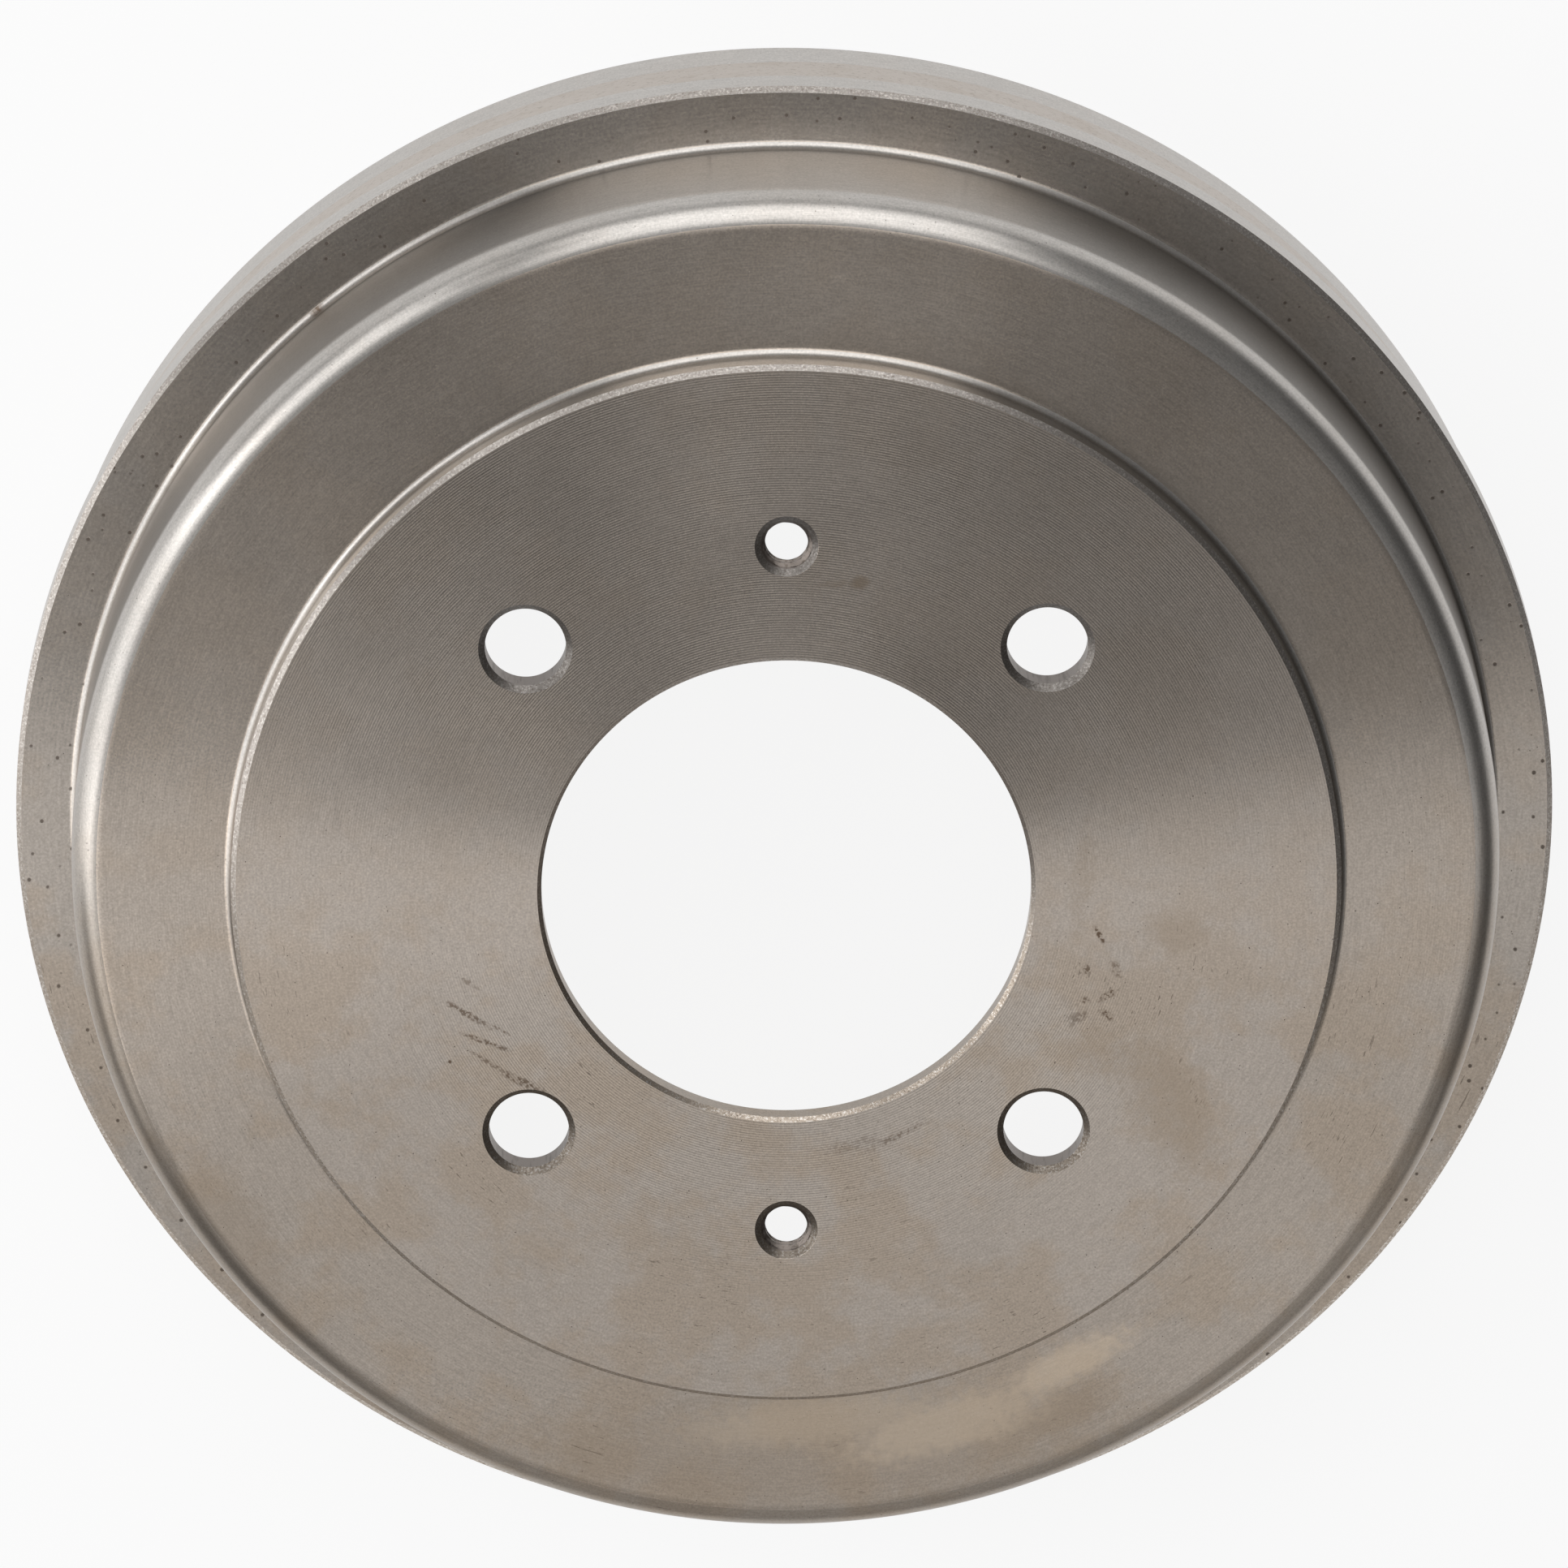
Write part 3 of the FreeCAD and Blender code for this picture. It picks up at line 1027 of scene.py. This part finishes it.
@dataclass
class DrumCasting:
    """The whole casting: its section turned about the axis, cut by the hole patterns, and finished."""

    section: TurnedSection
    patterns: list[HolePattern]
    finishes: Finishes
    segments: int = 360
    skin_roughness: float = 0.12 * MM
    sharp_angle: float = math.radians(30)

    @classmethod
    def from_frame(cls, record: dict, finishes: Finishes) -> "DrumCasting":
        """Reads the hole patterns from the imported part.

        Args:
            record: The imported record.
            finishes: The material of each kind of surface.

        Returns:
            The casting.
        """
        section = TurnedSection.from_frame(record)
        mounts = {mount["name"]: mount for mount in record["mounts"]}
        studs = mounts["wheel_studs"]["dims"]
        upper = mounts["jacking_thread_upper"]
        drill = StudDrill(studs["hole_r_mm"] * MM, section.height, section.face_web)
        tap = JackTap(upper["dims"]["r_mm"] * MM, section.height, section.face_web)
        jacks = [mount for name, mount in mounts.items() if name.startswith("jacking_thread")]
        upper_angle = math.atan2(upper["pos_m"][1], upper["pos_m"][0])
        circle = studs["pcd_mm"] * MM / 2
        patterns = [
            HolePattern("Stud", drill.mesh(), circle, studs["count"], math.pi / studs["count"]),
            HolePattern("Jack", tap.mesh(), circle, len(jacks), upper_angle),
        ]
        return cls(section, patterns, finishes)

    def build(self) -> bpy.types.Object:
        """Turns, drills and dresses the casting.

        Returns:
            One plain mesh object with no modifier, at the origin.
        """
        outline = self.section.outline()
        mesh = bpy.data.meshes.new("half_section")
        count = len(outline)
        mesh.from_pydata(outline, [(index, (index + 1) % count) for index in range(count)], [])
        blank = put_in_scene("half_section", mesh)
        cutters = [self._cutter(pattern) for pattern in self.patterns]
        inputs = {"Segments": ("Int", self.segments), "Skin roughness": ("Float", self.skin_roughness),
                  "Sharp angle": ("Float", self.sharp_angle)}
        for pattern, cutter in zip(self.patterns, cutters):
            inputs |= pattern.inputs(cutter)
        tree = TurningTree(self.section, self.finishes, inputs)
        tree.fill(self.patterns)
        modifier = blank.modifiers.new("Turn and drill", "NODES")
        modifier.node_group = tree.nodes
        for item in tree.nodes.interface.items_tree:
            if item.name in inputs:
                modifier[item.identifier] = inputs[item.name][1]
        view = bpy.context.evaluated_depsgraph_get()
        finished = bpy.data.meshes.new_from_object(blank.evaluated_get(view), depsgraph=view)
        finished.name = "drum_casting"
        for scrap in [blank, *cutters]:
            bpy.data.objects.remove(scrap)
        return put_in_scene("drum_casting", finished)

    def _cutter(self, pattern: HolePattern) -> bpy.types.Object:
        """Puts a pattern's cutter in the scene with its two finishes."""
        for surface in (Surface.DRILLED, Surface.HOLE_EDGE):
            pattern.cutter.materials.append(self.finishes[surface])
        return put_in_scene(pattern.cutter.name, pattern.cutter)


@dataclass(frozen=True)
class Softbox:
    """A soft lamp that faces the drum, placed by angles about the drum's axis."""

    name: str
    azimuth: float
    fall: float
    width: float
    length: float
    brightness: float
    distance: float = 1.4

    def build(self, target: Vector) -> None:
        """Hangs the lamp.

        Args:
            target: The point that it faces.
        """
        azimuth, fall = math.radians(self.azimuth), math.radians(self.fall)
        aside = math.sin(fall)
        towards = Vector((math.cos(azimuth) * aside, math.sin(azimuth) * aside, math.cos(fall)))
        lamp = bpy.data.lights.new(self.name, "AREA")
        lamp.shape = "RECTANGLE"
        lamp.size, lamp.size_y = self.width, self.length
        lamp.energy = self.brightness * math.pi * self.width * self.length
        holder = put_in_scene(self.name, lamp)
        holder.visible_camera = False
        holder.location = target + towards * self.distance
        holder.rotation_euler = towards.to_track_quat("Z", "Y").to_euler()


@dataclass(frozen=True)
class FloorFinish:
    """A plain white floor: white behind the drum, with some of its shadow, and clear from below."""

    name: str = "studio_floor"
    paint: tuple = (0.8, 0.8, 0.8, 1.0)
    shadow_share: float = 0.12
    shine_share: float = 0.95
    far_loss: float = 0.85
    far_starts: float = 0.25
    far_ends: float = 0.6

    def material(self) -> bpy.types.Material:
        """Builds the finish.

        Returns:
            The material.
        """
        material = bpy.data.materials.new(self.name)
        material.use_nodes = True
        tree = Tree(material.node_tree)
        rays = tree.parts("ShaderNodeLightPath")
        seen = rays["Is Camera Ray"].larger(rays["Is Transmission Ray"])
        glossy = rays["Is Glossy Ray"]
        paint = tree.add("ShaderNodeBsdfDiffuse", None, {"Color": self.paint})
        # Beyond the table's right edge the iron mirrors a darker room
        place = tree.add("ShaderNodeTexCoord", output="Object")
        right = tree.add("ShaderNodeSeparateXYZ", None, {0: place})
        share = seen * (1 - self.shadow_share) + glossy * self.shine_share
        glow_strength = 1 - glossy * right.fade(self.far_starts, self.far_ends) * self.far_loss
        glow_colour = tree.mix((0.0, 0.0, 0.0, 1.0), WHITE, glow_strength)
        glow = tree.add("ShaderNodeEmission", None, {"Color": glow_colour, "Strength": 1.0})
        both = tree.add("ShaderNodeMixShader", None, {0: share, 1: paint, 2: glow})
        # From below the floor is clear, so that the open side of the drum can be seen
        from_below = tree.add("ShaderNodeNewGeometry", output="Backfacing")
        clear = tree.add("ShaderNodeBsdfTransparent")
        both = tree.add("ShaderNodeMixShader", None, {0: from_below * seen, 1: both, 2: clear})
        tree.add("ShaderNodeOutputMaterial", None, {"Surface": both})
        return material


@dataclass
class Studio:
    """The floor, the surroundings and the lamps."""

    floor_size: float = 6.0
    floor_gap: float = 0.05 * MM
    surroundings: float = 0.216
    dark_side: float = 0.7
    dark_starts: float = 0.6
    dark_ends: float = 0.95
    softboxes: tuple[Softbox, ...] = (
        Softbox("key_softbox", 90.0, 36.0, 0.9, 1.0, 1.87),
        Softbox("back_softbox", 90.0, 64.0, 1.2, 0.45, 1.83),
        Softbox("left_top_softbox", 196.0, 28.0, 0.35, 0.4, 0.3),
        Softbox("left_softbox", 180.0, 56.0, 1.0, 0.7, 1.62),
        Softbox("left_back_softbox", 150.0, 54.0, 0.8, 0.85, 1.75),
        Softbox("back_corner_softbox", 130.0, 73.0, 0.45, 0.35, 1.3),
        Softbox("left_front_softbox", 210.0, 54.0, 0.6, 0.6, 1.5),
        Softbox("left_low_softbox", 180.0, 80.0, 1.0, 0.6, 1.5),
        Softbox("camera_side_strip", 270.0, 24.0, 2.4, 0.3, 0.66),
        Softbox("front_softbox", 270.0, 38.0, 1.2, 0.4, 0.54),
        Softbox("front_low_softbox", 283.0, 66.0, 1.9, 0.8, 0.37),
    )

    def build(self, target: Vector) -> None:
        """Sets up the studio round the drum.

        Args:
            target: The point that the lamps face.
        """
        half, low = self.floor_size / 2, -self.floor_gap
        mesh = bpy.data.meshes.new("studio_floor")
        corners = [(-half, -half, low), (half, -half, low), (half, half, low), (-half, half, low)]
        mesh.from_pydata(corners, [], [(0, 1, 2, 3)])
        mesh.materials.append(FloorFinish().material())
        floor = put_in_scene("studio_floor", mesh)
        self._world()
        for softbox in self.softboxes:
            softbox.build(target)

    def _world(self) -> None:
        """Lights the drum from all round, least from the right, and shows white to the camera."""
        world = bpy.data.worlds.new("studio")
        world.use_nodes = True
        bpy.context.scene.world = world
        tree = Tree(world.node_tree)
        rays = tree.parts("ShaderNodeLightPath")
        seen = rays["Is Camera Ray"].larger(rays["Is Transmission Ray"])
        towards = tree.add("ShaderNodeTexCoord", output="Generated")
        right = tree.add("ShaderNodeSeparateXYZ", None, {0: towards})
        # The iron mirrors a dim room, and least of it on the right, or its dark sides would be lost
        dim = self.surroundings * (1 - right.fade(self.dark_starts, self.dark_ends) * self.dark_side)
        strength = dim * (1 - seen) + seen
        back = tree.add("ShaderNodeBackground", None, {"Color": WHITE, "Strength": strength})
        tree.add("ShaderNodeOutputWorld", None, {"Surface": back})


@dataclass(frozen=True)
class PhotoCamera:
    """A long lens that looks down on the mounting face, a little from the upper jacking hole's side."""

    distance: float = 1.9435
    tilt: float = math.radians(21.285)
    yaw: float = math.radians(-0.536)
    roll: float = math.radians(0.038)
    aim_right: float = -0.38 * MM
    aim_up: float = 16.82 * MM
    lens: float = 286.3
    sensor: float = 36.0

    def build(self, face_centre: Vector) -> None:
        """Sets the camera up and makes it the scene's.

        Args:
            face_centre: The centre of the mounting face.
        """
        towards = Vector((math.cos(self.tilt) * math.sin(self.yaw), math.sin(self.tilt),
                          math.cos(self.tilt) * math.cos(self.yaw)))
        level = Vector((0.0, 1.0, 0.0)).cross(towards).normalized()
        right = Matrix.Rotation(self.roll, 3, towards) @ level
        up = towards.cross(right)
        location = face_centre + towards * self.distance
        aim = face_centre + right * self.aim_right + up * self.aim_up
        back = (location - aim).normalized()
        across = up.cross(back).normalized()
        data = bpy.data.cameras.new("photo_camera")
        data.lens, data.sensor_width = self.lens, self.sensor
        camera = put_in_scene("photo_camera", data)
        turned = Matrix((across, back.cross(across), back)).transposed()
        camera.matrix_world = Matrix.Translation(location) @ turned.to_4x4()
        bpy.context.scene.camera = camera


def make_finishes() -> Finishes:
    """Builds the material of each kind of surface.

    Returns:
        The materials by surface.
    """
    face = TurnedFinish(Surface.FACE.value, (0.46, 0.407, 0.358, 1.0), mark_contrast=0.37,
                        mark_fades_over=(50 * MM, 74 * MM), stains_and_sheen=FACE_STAINS)
    shelf = TurnedFinish(Surface.SHELF.value, (0.44, 0.386, 0.335, 1.0), pitch=0.415 * MM,
                         mark_contrast=0.03, stains_and_sheen=SHELF_STAINS_AND_SHEEN)
    # The wall's colour gets painted shade on the hat wall and over its lower half
    wall = TurnedFinish(Surface.WALL.value, (0.47, 0.447, 0.422, 1.0), pitch=0.415 * MM,
                        mark_contrast=0.04, lean=0.0, roughness=0.29, anisotropy=0.7, warmth=0.4,
                        oil_film_and_shade=0.6, painted_shade_below=50.5 * MM, stains_and_sheen=WALL_STAINS)
    flange = TurnedFinish(Surface.FLANGE.value, (0.42, 0.377, 0.335, 1.0), pitch=0.75 * MM,
                          mark_contrast=0.02, pore_share=0.45, pore_cell=2.1 * MM, pore_size=0.2)
    # The hole bevels' colours are darkened to 0.55 as painted shade at the holes
    hole_edge = GrainyEdgeFinish(Surface.HOLE_EDGE.value, brightness=0.55, roughness=0.42)
    finishes = (face, shelf, wall, flange, GrainyEdgeFinish(), hole_edge, CastSkinFinish(), DrilledFinish())
    return {Surface(finish.name): finish.material() for finish in finishes}


def main() -> None:
    """Builds the casting, the studio and the camera."""
    logging.basicConfig(level=logging.INFO, format="%(name)s: %(message)s")
    casting = DrumCasting.from_frame(frame["record"], make_finishes())
    drum = casting.build()
    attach(drum, BODY)
    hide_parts(NODE)
    faces, finishes = len(drum.data.polygons), len(drum.data.materials)
    LOG.info("%s has %d faces and %d finishes", drum.name, faces, finishes)
    face_centre = Vector((0.0, 0.0, casting.section.height))
    Studio().build(face_centre)
    LOG.info("studio built")
    PhotoCamera().build(face_centre)
    LOG.info("camera set")
    bpy.context.scene.view_settings.view_transform = "Standard"


if __name__ == "__main__":
    main()
